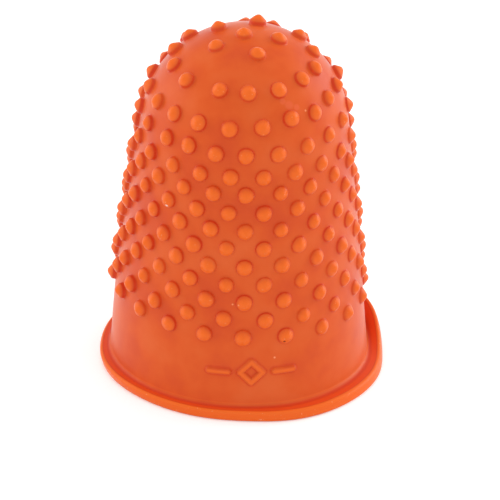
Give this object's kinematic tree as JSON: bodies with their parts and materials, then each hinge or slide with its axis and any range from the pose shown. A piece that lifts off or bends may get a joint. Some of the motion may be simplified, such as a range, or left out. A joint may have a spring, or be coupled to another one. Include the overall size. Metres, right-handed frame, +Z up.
{
  "type": "rubber finger tip",
  "caption": "Moulded rubber finger cone with a domed end, a thin rim at the open end and rows of raised grip pimples.",
  "frame": {"origin": "middle of the open end, in the plane the rim rests on", "axes": "+Z up along the cone's axis towards the dome, -Y towards the front with the raised mark"},
  "size_m": [0.025, 0.025, 0.033],
  "materials": {
    "rubber": "semi-matte"
  },
  "bodies": {
    "root": {"finger_tip": "rubber"}
  },
  "joints": []
}
